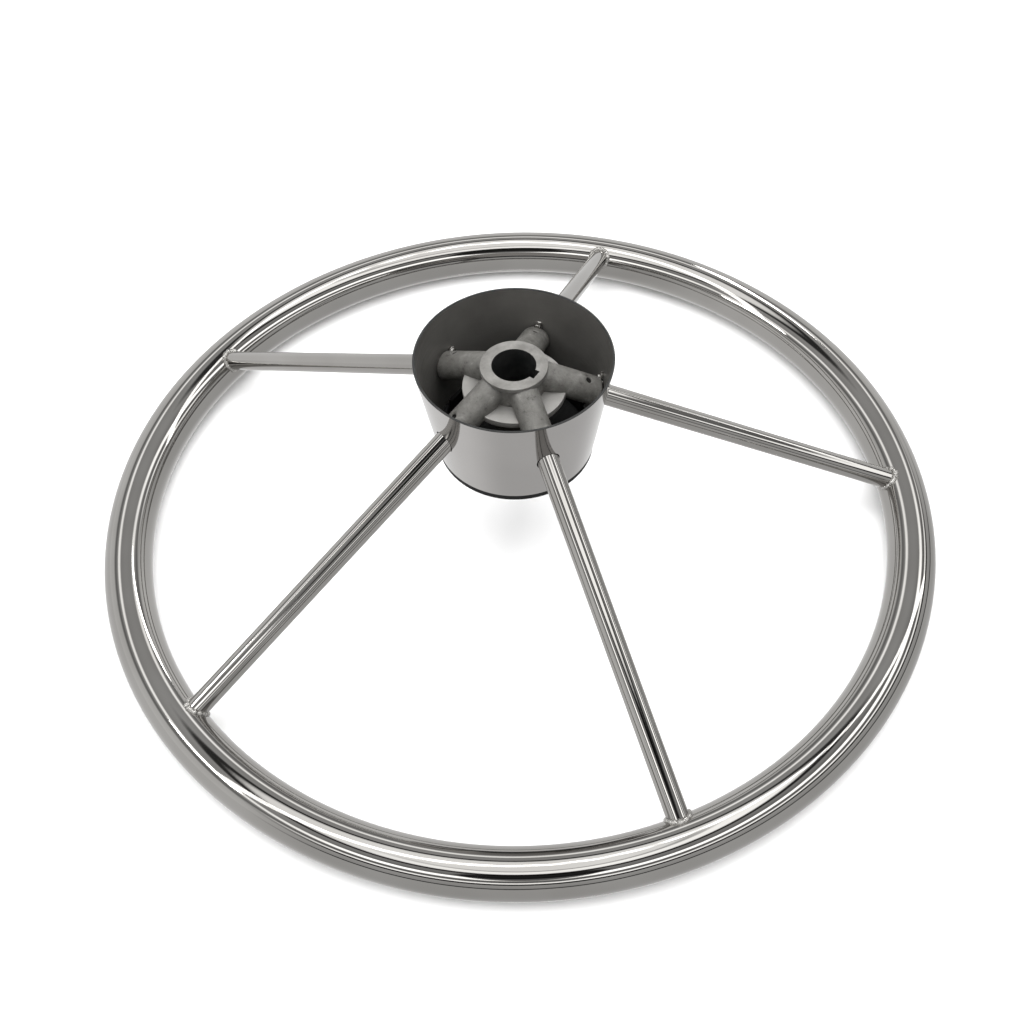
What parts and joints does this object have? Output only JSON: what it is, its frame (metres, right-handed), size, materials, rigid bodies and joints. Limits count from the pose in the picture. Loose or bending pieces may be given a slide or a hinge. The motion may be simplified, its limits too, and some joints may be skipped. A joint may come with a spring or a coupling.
{
  "type": "ship steering wheel",
  "caption": "Dished stainless steering wheel with a round tube rim, straight tube spokes, a tapered hub cup round a keyed cast hub and a pull-off black centre cap.",
  "frame": {"origin": "floor point on the shaft axis, with the wheel lying on its rim and its shaft side up", "axes": "+Z along the shaft axis towards the dash side of the hub; -Y along spoke 1"},
  "size_m": [0.3937, 0.3936, 0.1139],
  "materials": {
    "polished_tube": "mirror polished stainless tube",
    "cup_steel": "polished outside, dark satin inside",
    "hub_cast": "as cast, matte, slightly rough",
    "weld_bead": "rippled weld metal",
    "pin_steel": "dark pin end",
    "cap_plastic": "moulded black plastic"
  },
  "bodies": {
    "wheel": {"rim_tube": "polished_tube", "spoke_1": "polished_tube", "spoke_2": "polished_tube", "spoke_3": "polished_tube", "spoke_4": "polished_tube", "spoke_5": "polished_tube", "rim_weld_1": "weld_bead", "rim_weld_2": "weld_bead", "rim_weld_3": "weld_bead", "rim_weld_4": "weld_bead", "rim_weld_5": "weld_bead", "hub_cup": "cup_steel", "hub_casting": "hub_cast", "spoke_pin_1": "pin_steel", "spoke_pin_2": "pin_steel", "spoke_pin_3": "pin_steel", "spoke_pin_4": "pin_steel", "spoke_pin_5": "pin_steel", "tack_weld_1": "weld_bead", "tack_weld_2": "weld_bead", "tack_weld_3": "weld_bead", "tack_weld_4": "weld_bead", "tack_weld_5": "weld_bead"},
    "cap": {"centre_cap": "cap_plastic"}
  },
  "joints": [
    {"name": "cap_pull", "type": "slide", "parent": "wheel", "child": "cap", "axis": [0, 0, -1], "range_m": [0, 0.05]}
  ]
}
